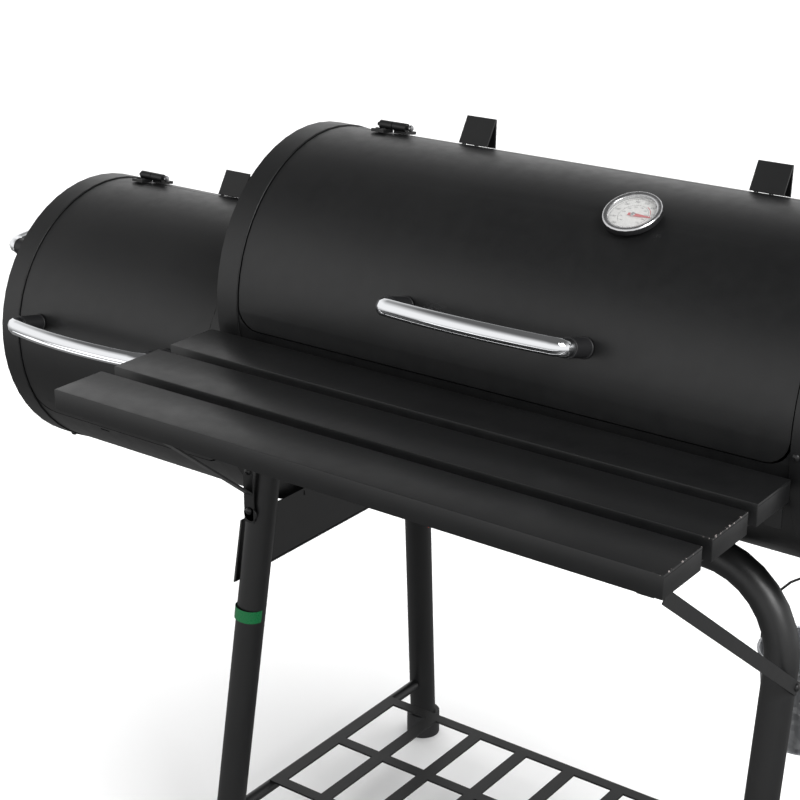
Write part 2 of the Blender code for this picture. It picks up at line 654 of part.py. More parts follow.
# ---- drain and grease bucket --------------------------------------------------------
def drain_and_bucket():
    low, high = -0.206, -DRUM_RADIUS - 2 * GAP
    spout = rod("drain_spout", at(DRAIN_X, 0, low), at(DRAIN_X, 0, high), DRAIN_RADIUS + 0.002, 20)
    join(spout, rod("collar", at(DRAIN_X, 0, high - 0.003), at(DRAIN_X, 0, high), 0.013, 20))
    cut(spout, rod("bore", at(DRAIN_X, 0, low - 0.01), at(DRAIN_X, 0, high + 0.01), DRAIN_RADIUS, 16))
    finish(spout, BLACK_PAINT)

    bail_top = BUCKET_RIM - 0.008 + BAIL_HEIGHT
    wire = 0.002
    ring = BAIL_WIRE + wire + 0.0005
    hook_path = [(BUCKET_X, ring, -DRUM_RADIUS - wire)]
    hook_path += [(BUCKET_X, ring * math.cos(math.radians(a)), bail_top + ring * math.sin(math.radians(a)))
                  for a in range(0, -226, -25)]
    hook = pipe("bucket_hook", [at(*point) for point in hook_path], wire, 2)
    join(hook, block("hook_plate", at(BUCKET_X - 0.010, ring - 0.010, -DRUM_RADIUS - 0.0035),
                     at(BUCKET_X + 0.010, ring + 0.010, -DRUM_RADIUS - 0.0010)))
    finish(hook, BLACK_PAINT)

    ear_z = BUCKET_RIM - 0.008
    reach = BUCKET_RADIUS + 0.0040
    bail_path = [(-BUCKET_RADIUS + 0.0030, 0), (-reach + 0.0015, 0)]
    bail_path += [(-reach * math.cos(math.radians(a)), BAIL_HEIGHT * math.sin(math.radians(a)))
                  for a in range(12, 180, 12)]
    bail_path += [(reach - 0.0015, 0), (BUCKET_RADIUS - 0.0030, 0)]
    bail = pipe("bucket_bail", [at(BUCKET_X + x, 0, ear_z + z) for x, z in bail_path], BAIL_WIRE, 2)
    finish(bail, BLACK_PAINT, at(BUCKET_X, 0, bail_top))

    wall = 0.0012
    floor_z = BUCKET_RIM - BUCKET_DEPTH
    profile = [(0, floor_z + wall), (BUCKET_BASE_RADIUS - wall, floor_z + wall), (BUCKET_RADIUS - wall, BUCKET_RIM),
               (BUCKET_RADIUS, BUCKET_RIM), (BUCKET_BASE_RADIUS, floor_z), (0, floor_z)]
    bucket = turned("grease_bucket", profile, Matrix.Translation(at(BUCKET_X, 0, 0)), 28)
    cut(bucket, rod("ears", at(BUCKET_X - 0.07, 0, ear_z), at(BUCKET_X + 0.07, 0, ear_z),
                    BAIL_WIRE + 0.0005, 12))
    finish(bucket, ZINC, at(BUCKET_X, 0, ear_z))


# ---- stand --------------------------------------------------------------------------
def left_leg_point(side, z):
    """Centre of a left leg at a height measured from the barrel axis."""
    below = z + BARREL_RADIUS
    return at(LEFT_LEG_X + LEFT_LEG_LEAN * below, side * (LEFT_LEG_Y - LEG_SPLAY * below), z)


def right_leg_y(z):
    return RAIL_Y + LEG_SPLAY * (RAIL_Z - z)


def left_legs():
    foot_z = 0.007 - AXIS_HEIGHT
    for side, name in ((-1, "front"), (1, "rear")):
        top, bottom = left_leg_point(side, -0.115), left_leg_point(side, foot_z)
        leg = rod("leg_" + name + "_left", bottom, top, LEG_TUBE, 24)
        cut(leg, rod("drum_cope", at(-0.1, 0, 0), at(0.2, 0, 0), BARREL_RADIUS + 0.0005, ROUND_STEPS))
        finish(leg, BLACK_PAINT)
        middle = left_leg_point(side, foot_z + 0.010)
        floor_point = Vector((middle.x, middle.y, 0.0))
        foot = rod("foot_" + name + "_left", floor_point, floor_point + Vector((0, 0, 0.036)), LEG_TUBE + 0.006, 24)
        down = (bottom - top).normalized()
        cut(foot, rod("socket", bottom + down * GAP, top, LEG_TUBE + GAP + 0.0001, 24))
        finish(foot, BLACK_PLASTIC)


def right_legs():
    for side, name in ((-1, "front"), (1, "rear")):
        down = Vector((0, side * LEG_SPLAY, -1)).normalized()
        bend_start = at(RIGHT_LEG_X - RAIL_BEND, side * RAIL_Y, RAIL_Z)
        path = [at(CAP_FLANGE + 0.002, side * RAIL_Y, RAIL_Z)]
        for i in range(9):
            turn = math.radians(90 * i / 8)
            level = Vector((RAIL_BEND * math.sin(turn), 0, 0))
            path.append(bend_start + level + down * RAIL_BEND * (1 - math.cos(turn)))
        bottom = 0.055 - AXIS_HEIGHT
        path.append(at(RIGHT_LEG_X, side * right_leg_y(bottom), bottom))
        leg = pipe("leg_" + name + "_right", path, LEG_TUBE, 7)
        axle_z = WHEEL_RADIUS - AXIS_HEIGHT
        cut(leg, rod("axle_hole", at(RIGHT_LEG_X, -0.3, axle_z), at(RIGHT_LEG_X, 0.3, axle_z),
                     AXLE_RADIUS + GAP, 16))
        finish(leg, BLACK_PAINT)


def leg_panel():
    """Sheet panel between the left legs, under the joint of the barrel and the firebox."""
    outline = [(-0.175, -0.290), (-0.192, -0.371), (0.192, -0.371), (0.175, -0.290)]
    turn = Matrix(((0, 0, 1), (1, 0, 0), (0, 1, 0))).to_4x4()
    frame = Matrix.Translation(at(0, 0, 0)) @ turn
    panel = prism("leg_panel", outline, 0.0125, 0.0140, frame)
    cut(panel, block("slot", at(0.0, -0.050, -0.300), at(0.03, -0.047, -0.2935)))
    finish(panel, BLACK_PAINT)


def axle_and_wheels():
    z = WHEEL_RADIUS - AXIS_HEIGHT
    end = WHEEL_Y + WHEEL_WIDTH / 2 + 0.008
    axle = rod("axle", at(RIGHT_LEG_X, -end, z), at(RIGHT_LEG_X, end, z), AXLE_RADIUS, 20)
    for side in (-1, 1):
        inner = side * (WHEEL_Y + WHEEL_WIDTH / 2 + 0.001)
        join(axle, rod("nut", at(RIGHT_LEG_X, inner, z), at(RIGHT_LEG_X, side * (end - 0.001), z), 0.010, 6))
    finish(axle, ZINC)
    half = WHEEL_WIDTH / 2
    bore = AXLE_RADIUS + 0.0005
    top_side = [(bore, half), (0.016, half), (0.019, half - 0.009), (0.056, half - 0.009), (0.061, half - 0.001),
                (WHEEL_RADIUS - 0.004, half - 0.001), (WHEEL_RADIUS, half - 0.005)]
    profile = top_side + [(radius, -height) for radius, height in reversed(top_side)]
    for side, name in ((-1, "front"), (1, "rear")):
        centre = at(RIGHT_LEG_X, side * WHEEL_Y, z)
        wheel = turned("wheel_" + name, profile, frame_along((0, 1, 0), centre), 24, closed=True)
        finish(wheel, BLACK_PLASTIC, centre)


def bottom_shelf():
    """Slotted storage shelf on two cross tubes between the legs."""
    z = SHELF_Z - AXIS_HEIGHT
    left = left_leg_point(1, z)
    left_x = left.x - BARREL_LEFT
    left_end = left.y - AXIS_Y - LEG_TUBE - 0.0015
    right_end = right_leg_y(z) - LEG_TUBE - 0.0015
    reach = (RIGHT_LEG_X - left_x) / 2
    middle = at((RIGHT_LEG_X + left_x) / 2, 0, z + SHELF_TUBE + 0.0005)
    shelf = slotted_plate("bottom_shelf", bar_cuts(-reach, reach, 10, 0.018), bar_cuts(-0.138, 0.138, 3, 0.016),
                          0.003, middle)
    join(shelf, rod("left_tube", at(left_x, -left_end, z), at(left_x, left_end, z), SHELF_TUBE, 16))
    join(shelf, rod("right_tube", at(RIGHT_LEG_X, -right_end, z), at(RIGHT_LEG_X, right_end, z), SHELF_TUBE, 16))
    finish(shelf, BLACK_PAINT)


# ---- front shelf --------------------------------------------------------------------
def slats():
    left = -0.0038
    wall = 0.0015
    for i, name in enumerate(("front", "middle", "rear")):
        front = SHELF_FRONT + i * (SLAT_WIDTH + SLAT_GAP)
        low = at(left, front, SLAT_TOP - SLAT_THICK)
        high = at(left + SLAT_LENGTH, front + SLAT_WIDTH, SLAT_TOP)
        slat = block("shelf_slat_" + name, low, high)
        bevel = slat.modifiers.new("edges", "BEVEL")
        bevel.width = 0.0012
        bevel.segments = 2
        bevel.limit_method = "ANGLE"
        settle(slat)
        inset = Vector((wall, wall, -0.01))
        cut(slat, block("inside", low + inset, high - Vector((wall, wall, wall))))
        finish(slat, BLACK_PAINT)


def strap(name, start, end, width, left, right):
    """Flat strap between two (y, z) points, wide by its width in that plane and from left to right in x."""
    start, end = Vector(start), Vector(end)
    side = (end - start).normalized().orthogonal() * width / 2
    outline = [start + side, end + side, end - side, start - side]
    turn = Matrix(((0, 0, 1), (1, 0, 0), (0, 1, 0))).to_4x4()
    return prism(name, [tuple(point) for point in outline], left, right, Matrix.Translation(at(0, 0, 0)) @ turn)


def shelf_brackets():
    thick = 0.0025
    top = SLAT_TOP - SLAT_THICK - GAP
    front = SHELF_FRONT + 0.0045
    left_low, left_high = 0.0340, 0.0490
    arm_back = -0.1885
    bracket = block("shelf_bracket_left", at(left_low, front, top - thick), at(left_high, arm_back, top))
    join(bracket, block("upright", at(left_low, arm_back - thick, -0.279), at(left_high, arm_back, top - 0.0005)))
    join(bracket, strap("brace", (-0.4150, top - 0.0012), (-0.1895, -0.2400), thick, left_low, left_high))
    finish(bracket, BLACK_PAINT)

    # The right brace is a thin strap outside the leg; its top runs up into the hollow front slat.
    arm_low, arm_high = 0.7290, 0.7465
    brace_low, brace_high = RIGHT_LEG_X + LEG_TUBE + GAP, 0.7555
    arm_back = -0.1845
    bracket = block("shelf_bracket_right", at(arm_low, front, top - thick), at(arm_high, arm_back, top))
    join(bracket, block("toe", at(arm_low + 0.005, front + 0.001, top - 0.0022),
                        at(brace_high - 0.0003, front + 0.020, top - 0.0003)))
    join(bracket, block("tab", at(arm_low, arm_back - thick, -0.090), at(arm_high, arm_back, top - 0.0005)))
    join(bracket, strap("brace", (-0.4470, -0.0542), (-0.1240, -0.3000), 0.015, brace_low, brace_high))
    finish(bracket, BLACK_PAINT)


main_barrel()
grates()
firebox()
chimney()
drain_and_bucket()
left_legs()
right_legs()
leg_panel()
axle_and_wheels()
bottom_shelf()
slats()
shelf_brackets()
bpy.context.view_layer.update()
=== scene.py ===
"""Looks of the barrel charcoal grill: procedural finishes, fixings, tape bands, dial and studio."""
import json
import math

import bmesh
import bpy
from mathutils import Matrix, Vector


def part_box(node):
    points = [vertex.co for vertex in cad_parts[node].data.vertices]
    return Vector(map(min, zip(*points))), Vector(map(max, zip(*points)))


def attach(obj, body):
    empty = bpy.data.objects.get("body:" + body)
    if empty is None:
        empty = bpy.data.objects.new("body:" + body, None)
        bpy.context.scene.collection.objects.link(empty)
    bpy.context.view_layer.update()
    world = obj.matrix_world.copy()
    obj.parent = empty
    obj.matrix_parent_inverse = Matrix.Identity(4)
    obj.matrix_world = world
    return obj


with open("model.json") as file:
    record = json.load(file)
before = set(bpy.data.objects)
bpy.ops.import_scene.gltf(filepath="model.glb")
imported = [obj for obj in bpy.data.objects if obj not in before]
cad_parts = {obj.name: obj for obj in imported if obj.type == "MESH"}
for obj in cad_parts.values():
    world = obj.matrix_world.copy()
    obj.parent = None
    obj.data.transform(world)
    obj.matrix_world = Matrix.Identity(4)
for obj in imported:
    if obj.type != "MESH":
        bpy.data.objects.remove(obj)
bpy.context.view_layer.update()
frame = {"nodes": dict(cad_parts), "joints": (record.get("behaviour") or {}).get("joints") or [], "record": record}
nodes = frame["nodes"]
joints = {joint["name"]: joint for joint in frame["joints"]}

# ---- places taken from the CAD ------------------------------------------------------
cap_low, cap_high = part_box("main_end_cap_left")
BARREL_LEFT = cap_low.x
BARREL_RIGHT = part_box("main_end_cap_right")[1].x
CAP_FLANGE = cap_high.x - cap_low.x
AXIS_Y = (cap_low.y + cap_high.y) / 2
AXIS_Z = (cap_low.z + cap_high.z) / 2
BARREL_RADIUS = (cap_high.z - cap_low.z) / 2
DRUM_RADIUS = BARREL_RADIUS - 0.0018
fire_low, fire_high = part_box("firebox_end_cap_left")
FIREBOX_LEFT = fire_low.x
FIREBOX_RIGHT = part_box("firebox_end_cap_right")[1].x
FIREBOX_Z = (fire_low.z + fire_high.z) / 2


# ---- shader graphs ------------------------------------------------------------------
class Graph:
    """A material's node tree with short ways to add and link nodes."""

    def __init__(self, name, colour, roughness, metallic=0.0):
        self.material = bpy.data.materials.new(name)
        self.material.use_nodes = True
        self.tree = self.material.node_tree
        self.shader = self.tree.nodes["Principled BSDF"]
        self.set(self.shader, "Base Color", (*colour, 1.0))
        self.set(self.shader, "Roughness", roughness)
        self.set(self.shader, "Metallic", metallic)
        self.place = self.tree.nodes.new("ShaderNodeTexCoord").outputs["Object"]

    def set(self, node, socket, value):
        """Link an output to a socket, or give the socket a plain value."""
        if isinstance(value, bpy.types.NodeSocket):
            self.tree.links.new(value, node.inputs[socket])
        else:
            node.inputs[socket].default_value = value

    def math(self, operation, first, second=0.0, clamp=False):
        node = self.tree.nodes.new("ShaderNodeMath")
        node.operation = operation
        node.use_clamp = clamp
        self.set(node, 0, first)
        self.set(node, 1, second)
        return node.outputs[0]

    def noise(self, scale, detail=3.0, rough=0.5, place=None, stretch=None):
        node = self.tree.nodes.new("ShaderNodeTexNoise")
        source = place or self.place
        if stretch is not None:
            source = self.vector("MULTIPLY", source, stretch)
        self.set(node, "Vector", source)
        self.set(node, "Scale", scale)
        self.set(node, "Detail", detail)
        self.set(node, "Roughness", rough)
        return node.outputs["Fac"]

    def vector(self, operation, first, second):
        node = self.tree.nodes.new("ShaderNodeVectorMath")
        node.operation = operation
        self.set(node, 0, first)
        self.set(node, 1, second)
        return node.outputs["Value" if operation in ("LENGTH", "DOT_PRODUCT") else "Vector"]

    def axis(self, letter):
        node = self.tree.nodes.new("ShaderNodeSeparateXYZ")
        self.set(node, 0, self.place)
        return node.outputs[letter]

    def ramp(self, value, low, high, start=0.0, end=1.0):
        node = self.tree.nodes.new("ShaderNodeMapRange")
        for socket, number in (("Value", value), ("From Min", low), ("From Max", high), ("To Min", start),
                               ("To Max", end)):
            self.set(node, socket, number)
        return node.outputs["Result"]

    def mix(self, factor, first, second):
        node = self.tree.nodes.new("ShaderNodeMix")
        node.data_type = "RGBA"
        self.set(node, 0, factor)
        self.set(node, 6, first if isinstance(first, bpy.types.NodeSocket) else (*first, 1.0))
        self.set(node, 7, second if isinstance(second, bpy.types.NodeSocket) else (*second, 1.0))
        return node.outputs[2]

    def bump(self, height, strength, distance, under=None):
        node = self.tree.nodes.new("ShaderNodeBump")
        self.set(node, "Height", height)
        self.set(node, "Strength", strength)
        self.set(node, "Distance", distance)
        if under is not None:
            self.set(node, "Normal", under)
        return node.outputs["Normal"]

    def use(self, **sockets):
        for name, value in sockets.items():
            self.set(self.shader, name.replace("_", " "), value)
        return self.material


# ---- finishes -----------------------------------------------------------------------
PAINT = (0.0065, 0.0067, 0.0071)
PAINT_DUSTY = (0.0105, 0.0107, 0.0110)
DUST = (0.16, 0.16, 0.16)
BARE_METAL = (0.42, 0.37, 0.36)


def powder_coat(name, chips=None):
    """Satin black powder coat: orange peel, faint cloudiness and dust; chips marks worn edges."""
    graph = Graph(name, PAINT, 0.4)
    cloud = graph.ramp(graph.noise(9.0, 4.0, 0.6), 0.35, 0.70)
    dust = graph.ramp(graph.noise(1300.0, 1.0, 0.4), 0.72, 0.80)
    patch = graph.ramp(graph.noise(22.0, 2.0, 0.5), 0.50, 0.75)
    colour = graph.mix(graph.math("MULTIPLY", cloud, 0.7), PAINT, PAINT_DUSTY)
    specks = graph.math("MULTIPLY", dust, graph.math("MULTIPLY", patch, 0.35))
    colour = graph.mix(specks, colour, DUST)
    rough = graph.ramp(graph.noise(60.0, 3.0, 0.55), 0.3, 0.7, 0.36, 0.43)
    peel = graph.bump(graph.noise(420.0, 2.0, 0.5), 0.10, 0.0006)
    fine = graph.bump(graph.noise(2600.0, 1.0, 0.5), 0.10, 0.0002, peel)
    if chips is not None:
        worn = chips(graph)
        colour = graph.mix(worn, colour, BARE_METAL)
        rough = graph.math("ADD", rough, graph.math("MULTIPLY", worn, 0.2))
    return graph.use(Base_Color=colour, Roughness=rough, Normal=fine, Specular_IOR_Level=0.5)


def slat_chips(node):
    """Paint knocked off along the top edges of a slat's right end."""
    low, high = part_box(node)

    def mask(graph):
        x, y, z = graph.axis("X"), graph.axis("Y"), graph.axis("Z")
        near_top = graph.ramp(z, high.z - 0.0022, high.z - 0.0009)
        near_end = graph.ramp(x, high.x - 0.0018, high.x - 0.0010)
        near_front = graph.ramp(graph.math("SUBTRACT", y, low.y), 0.0022, 0.0010)
        toward_end = graph.ramp(x, high.x - 0.012, high.x - 0.002)
        front_edge = graph.math("MULTIPLY", near_front, toward_end)
        edge = graph.math("MULTIPLY", near_top, graph.math("MAXIMUM", near_end, front_edge))
        spots = graph.ramp(graph.noise(330.0, 2.0, 0.6), 0.61, 0.66)
        return graph.math("MULTIPLY", edge, spots, clamp=True)

    return mask


def chrome():
    graph = Graph("chrome_plate", (0.82, 0.83, 0.85), 0.05, 1.0)
    smear = graph.noise(34.0, 4.0, 0.6, stretch=(0.35, 1.0, 1.0))
    rough = graph.ramp(smear, 0.35, 0.75, 0.02, 0.06)
    wave = graph.bump(graph.noise(26.0, 1.0, 0.4), 0.05, 0.004)
    scratch = graph.bump(graph.noise(900.0, 2.0, 0.5, stretch=(0.08, 1.0, 1.0)), 0.03, 0.0002, wave)
    return graph.use(Roughness=rough, Normal=scratch)


def spun_steel(name, centre, axis, colour=(0.66, 0.66, 0.67)):
    """Steel turned on a lathe: fine rings about an axis."""
    graph = Graph(name, colour, 0.24, 1.0)
    off = graph.vector("CROSS_PRODUCT", graph.vector("SUBTRACT", graph.place, centre), axis)
    radius = graph.vector("LENGTH", off, (0, 0, 0))
    rings = graph.math("SINE", graph.math("MULTIPLY", radius, 9000.0))
    grain = graph.noise(180.0, 3.0, 0.6)
    rough = graph.ramp(grain, 0.3, 0.7, 0.18, 0.32)
    return graph.use(Roughness=rough, Normal=graph.bump(rings, 0.06, 0.0003))


def moulded_plastic(name, colour=(0.013, 0.013, 0.014), roughness=0.46):
    graph = Graph(name, colour, roughness)
    grain = graph.noise(1500.0, 2.0, 0.6)
    cloud = graph.noise(30.0, 3.0, 0.5)
    tint = graph.mix(graph.ramp(cloud, 0.3, 0.8), colour, [1.5 * part for part in colour])
    rough = graph.ramp(cloud, 0.3, 0.7, roughness - 0.05, roughness + 0.06)
    return graph.use(Base_Color=tint, Roughness=rough, Normal=graph.bump(grain, 0.18, 0.0003))


def seasoned_iron():
    graph = Graph("seasoned_iron", (0.035, 0.033, 0.031), 0.62, 0.4)
    cloud = graph.ramp(graph.noise(45.0, 4.0, 0.6), 0.35, 0.75)
    tint = graph.mix(cloud, (0.026, 0.026, 0.027), (0.060, 0.050, 0.042))
    pits = graph.bump(graph.noise(700.0, 3.0, 0.6), 0.35, 0.0006)
    return graph.use(Base_Color=tint, Roughness=graph.ramp(cloud, 0.0, 1.0, 0.52, 0.72), Normal=pits)


def zinc_plate(name):
    graph = Graph(name, (0.55, 0.56, 0.57), 0.38, 1.0)
    spangle = graph.tree.nodes.new("ShaderNodeTexVoronoi")
    graph.set(spangle, "Vector", graph.place)
    graph.set(spangle, "Scale", 140.0)
    grey = graph.ramp(spangle.outputs["Color"], 0.2, 0.9)
    tint = graph.mix(grey, (0.46, 0.47, 0.49), (0.62, 0.63, 0.64))
    rough = graph.ramp(grey, 0.0, 1.0, 0.30, 0.46)
    return graph.use(Base_Color=tint, Roughness=rough, Normal=graph.bump(grey, 0.04, 0.0004))


def printed(name, colour, roughness=0.5):
    """Flat print or tape with a faint unevenness; also used for the painted seam shadow on the slat ends."""
    graph = Graph(name, colour, roughness)
    cloud = graph.ramp(graph.noise(240.0, 3.0, 0.6), 0.3, 0.8)
    tint = graph.mix(cloud, colour, [0.88 * part for part in colour])
    rough = graph.ramp(cloud, 0.0, 1.0, roughness - 0.06, roughness + 0.06)
    return graph.use(Base_Color=tint, Roughness=rough)


def gauge_glass():
    graph = Graph("gauge_glass", (1.0, 1.0, 1.0), 0.03)
    smear = graph.ramp(graph.noise(60.0, 3.0, 0.6), 0.4, 0.8, 0.01, 0.06)
    return graph.use(Roughness=smear, Alpha=0.13, Specular_IOR_Level=0.6)


gauge = joints["needle_turn"]
GAUGE_CENTRE = Vector(gauge["pos_m"])
GAUGE_AXIS = Vector(gauge["axis"]).normalized()

finishes = {
    "black_paint": powder_coat("powder_coat"),
    "chrome": chrome(),
    "stainless": spun_steel("spun_stainless", GAUGE_CENTRE, GAUGE_AXIS),
    "black_plastic": moulded_plastic("moulded_plastic"),
    "dial_white": printed("dial_white", (0.86, 0.86, 0.84)),
    "clear_glass": gauge_glass(),
    "pointer_red": printed("pointer_red", (0.62, 0.02, 0.03), 0.35),
    "cast_iron": seasoned_iron(),
    "zinc": zinc_plate("zinc_plate"),
}
bolt_zinc = spun_steel("bolt_steel", GAUGE_CENTRE, GAUGE_AXIS, (0.35, 0.35, 0.36))
tyre_rubber = moulded_plastic("tyre_rubber", (0.018, 0.018, 0.018), 0.62)

for part in frame["record"]["subparts"]:
    body = nodes[part["node"]]
    body.data.materials.clear()
    body.data.materials.append(finishes[part["material_slot"]])
for body in nodes.values():
    body.data.shade_smooth()
    if "custom_normal" in body.data.attributes:
        body.data.attributes.remove(body.data.attributes["custom_normal"])
    weld = body.modifiers.new("weld", "WELD")
    weld.merge_threshold = 0.00001
    split = body.modifiers.new("crisp_edges", "EDGE_SPLIT")
    split.split_angle = math.radians(60.0 if body.name.endswith("_handle_bar") else 33.0)
    split.use_edge_sharp = False
for name in ("shelf_slat_front", "shelf_slat_middle"):
    nodes[name].material_slots[0].material = powder_coat("paint_" + name, slat_chips(name))


# ---- making pieces ------------------------------------------------------------------
def new_piece(name, shape, material, body, smooth_degrees=35.0):
    """Turn a bmesh into a piece that rides on a CAD body."""
    bmesh.ops.recalc_face_normals(shape, faces=shape.faces)
    mesh = bpy.data.meshes.new(name)
    shape.to_mesh(mesh)
    shape.free()
    mesh.shade_smooth()
    mesh.set_sharp_from_angle(angle=math.radians(smooth_degrees))
    mesh.materials.append(material)
    piece = bpy.data.objects.new(name, mesh)
    bpy.context.scene.collection.objects.link(piece)
    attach(piece, body)
    return piece


def along(direction, origin):
    """Frame with its z axis along a direction."""
    return Matrix.Translation(origin) @ Vector(direction).to_track_quat("Z", "Y").to_matrix().to_4x4()


def lathe(shape, profile, place, steps):
    """Add a profile of (radius, height) points, turned about the place's z axis, to a bmesh."""
    rings = []
    for radius, height in profile:
        if radius < 1e-7:
            rings.append([shape.verts.new(place @ Vector((0, 0, height)))])
        else:
            turns = [2 * math.pi * i / steps for i in range(steps)]
            round_it = [Vector((radius * math.cos(turn), radius * math.sin(turn), height)) for turn in turns]
            rings.append([shape.verts.new(place @ spot) for spot in round_it])
    for low, high in zip(rings, rings[1:]):
        for i in range(steps):
            after = i + 1
            corners = [low[i % len(low)], low[after % len(low)], high[after % len(high)], high[i % len(high)]]
            corners = list(dict.fromkeys(corners))
            if len(corners) > 2:
                shape.faces.new(corners)


def ring(shape, place, radius, thick, steps=96, sides=10):
    """Add a torus about the place's z axis to a bmesh."""
    turns = [2 * math.pi * i / sides for i in range(sides + 1)]
    lathe(shape, [(radius + thick * math.cos(turn), thick * math.sin(turn)) for turn in turns], place, steps)
    bmesh.ops.remove_doubles(shape, verts=shape.verts, dist=1e-7)


def hex_bolt(shape, place, size):
    """Add a chamfered hexagon head, with a washer under it, to a bmesh; z points out of the sheet."""
    under = 0.0012
    wide = size * 1.75
    washer = [(0, 0), (size * 1.7, 0), (wide, 0.0003), (wide, 0.0009), (size * 1.6, under), (0, under)]
    lathe(shape, washer, place, 24)
    top = under + size * 0.72
    head = [(0, under), (size, under), (size, top - size * 0.16), (size * 0.86, top), (size * 0.5, top),
            (size * 0.42, top - 0.0004), (0, top - 0.0004)]
    lathe(shape, head, place, 6)


def dome_bolt(shape, place, size):
    """Add a carriage or truss head with a cross recess ring to a bmesh."""
    height = size * 0.62
    turns = [math.radians(step * 15) for step in range(7)]
    profile = [(0, 0), (size * 1.06, 0), (size * 1.06, 0.0003)]
    profile += [(size * math.cos(turn), 0.0003 + height * math.sin(turn)) for turn in turns[:-1]]
    profile += [(size * 0.22, 0.0003 + height), (size * 0.16, height - 0.0004), (0, height - 0.0004)]
    lathe(shape, profile, place, 20)


def bolts(name, places, body, kind, size, material=None, slot="black_paint"):
    """One piece with a bolt head at each of some places."""
    shape = bmesh.new()
    for place in places:
        kind(shape, place, size)
    return new_piece(name, shape, material or finishes[slot], body)


def on_drum(x, degrees, lift=0.0, centre_z=None):
    """Frame on a drum's sheet: local x along it, local y back round it, local z out of it."""
    angle = math.radians(degrees)
    outward = Vector((0, -math.cos(angle), math.sin(angle)))
    backward = Vector((0, math.sin(angle), math.cos(angle)))
    height = AXIS_Z if centre_z is None else centre_z
    turn = Matrix((Vector((1, 0, 0)), backward, outward)).transposed().to_4x4()
    return Matrix.Translation(Vector((x, AXIS_Y, height)) + outward * (DRUM_RADIUS + lift)) @ turn


def plate(shape, place, low, high, edge=0.0006):
    """Add a box with softened edges, between two corners of a frame, to a bmesh."""
    low, high = Vector(low), Vector(high)
    box = bmesh.new()
    bmesh.ops.create_cube(box, size=1.0)
    sized = Matrix.Translation((low + high) / 2) @ Matrix.Diagonal((*(high - low), 1.0))
    bmesh.ops.transform(box, matrix=sized, verts=box.verts)
    bmesh.ops.bevel(box, geom=box.edges[:], offset=edge, segments=2, profile=0.5, affect="EDGES")
    bmesh.ops.transform(box, matrix=place, verts=box.verts)
    mesh = bpy.data.meshes.new("plate")
    box.to_mesh(mesh)
    box.free()
    shape.from_mesh(mesh)
    bpy.data.meshes.remove(mesh)


def sweep(shape, points, radius, sides=8):
    """Add a round bead through a list of points to a bmesh."""
    rings = []
    for i, point in enumerate(points):
        before, after = points[max(i - 1, 0)], points[min(i + 1, len(points) - 1)]
        place = along(after - before, point)
        turns = [2 * math.pi * k / sides for k in range(sides)]
        rings.append([shape.verts.new(place @ Vector((radius * math.cos(turn), radius * math.sin(turn), 0)))
                      for turn in turns])
    for low, high in zip(rings, rings[1:]):
        for k in range(sides):
            shape.faces.new((low[k], low[(k + 1) % sides], high[(k + 1) % sides], high[k]))
    shape.faces.new(rings[0])
    shape.faces.new(rings[-1])


# ---- end caps: rolled lips and rounded corners --------------------------------------
def cap_lips(name, face_x, outward, centre_z, body="stand"):
    """Rolled lip on a flange's open edge and a soft corner where the flange meets the disc."""
    shape = bmesh.new()
    centre = Vector((face_x, AXIS_Y, centre_z))
    lip, corner, press = 0.0009, 0.0012, 0.0016
    open_edge = centre - Vector((outward * CAP_FLANGE, 0, 0))
    ring(shape, along((1, 0, 0), open_edge), BARREL_RADIUS - lip, lip)
    ring(shape, along((1, 0, 0), centre - Vector((outward * corner, 0, 0))), BARREL_RADIUS - corner, corner)
    ring(shape, along((1, 0, 0), centre), BARREL_RADIUS * 0.86, press)
    return new_piece(name, shape, finishes["black_paint"], body, 60)


cap_lips("main_cap_left_lip", BARREL_LEFT, -1, AXIS_Z)
cap_lips("main_cap_right_lip", BARREL_RIGHT, 1, AXIS_Z)
cap_lips("firebox_cap_left_lip", FIREBOX_LEFT, -1, FIREBOX_Z)
cap_lips("firebox_cap_right_lip", FIREBOX_RIGHT, 1, FIREBOX_Z)

flange_lift = BARREL_RADIUS - DRUM_RADIUS
FLANGE_BOLT = 0.0042
HIDDEN_BOLT_DEGREES = (-62, -118, 182)
right_degrees = (-2.7, *HIDDEN_BOLT_DEGREES)
cap_bolt_places = [on_drum(BARREL_RIGHT - 0.025, degrees, flange_lift) for degrees in right_degrees]
cap_bolt_places += [on_drum(BARREL_LEFT + 0.020, degrees, flange_lift) for degrees in HIDDEN_BOLT_DEGREES]
bolts("cap_flange_bolts", cap_bolt_places, "stand", dome_bolt, FLANGE_BOLT)
fire_bolt_places = [on_drum(x, degrees, flange_lift, FIREBOX_Z) for degrees in HIDDEN_BOLT_DEGREES
                    for x in (FIREBOX_LEFT + 0.018, FIREBOX_RIGHT - 0.018)]
bolts("firebox_flange_bolts", fire_bolt_places, "stand", dome_bolt, FLANGE_BOLT)


# ---- handles ------------------------------------------------------------------------
def handle_collars(prefix, out_of, body):
    """A rounded lip on each standoff where the chromed tube goes in, and a shallow foot on the sheet."""
    shape = bmesh.new()
    for node in [name for name in nodes if name.startswith(prefix + "_standoff")]:
        points = [vertex.co for vertex in nodes[node].data.vertices]
        centre = (Vector(map(min, zip(*points))) + Vector(map(max, zip(*points)))) / 2
        out = out_of(centre)
        reach = max((point - centre).dot(out) for point in points)
        radius = max((point - centre - out * (point - centre).dot(out)).length for point in points)
        ring(shape, along(out, centre + out * (reach - 0.0009)), radius - 0.0002, 0.0009, 40, 8)
        ring(shape, along(out, centre - out * (reach - 0.0012)), radius, 0.0011, 40, 8)
    new_piece(prefix + "_collars", shape, finishes["black_plastic"], body, 60)


def out_of_drum(centre_z):
    """Direction from a drum's axis to a point, square to the axis."""
    return lambda point: Vector((0, point.y - AXIS_Y, point.z - centre_z)).normalized()


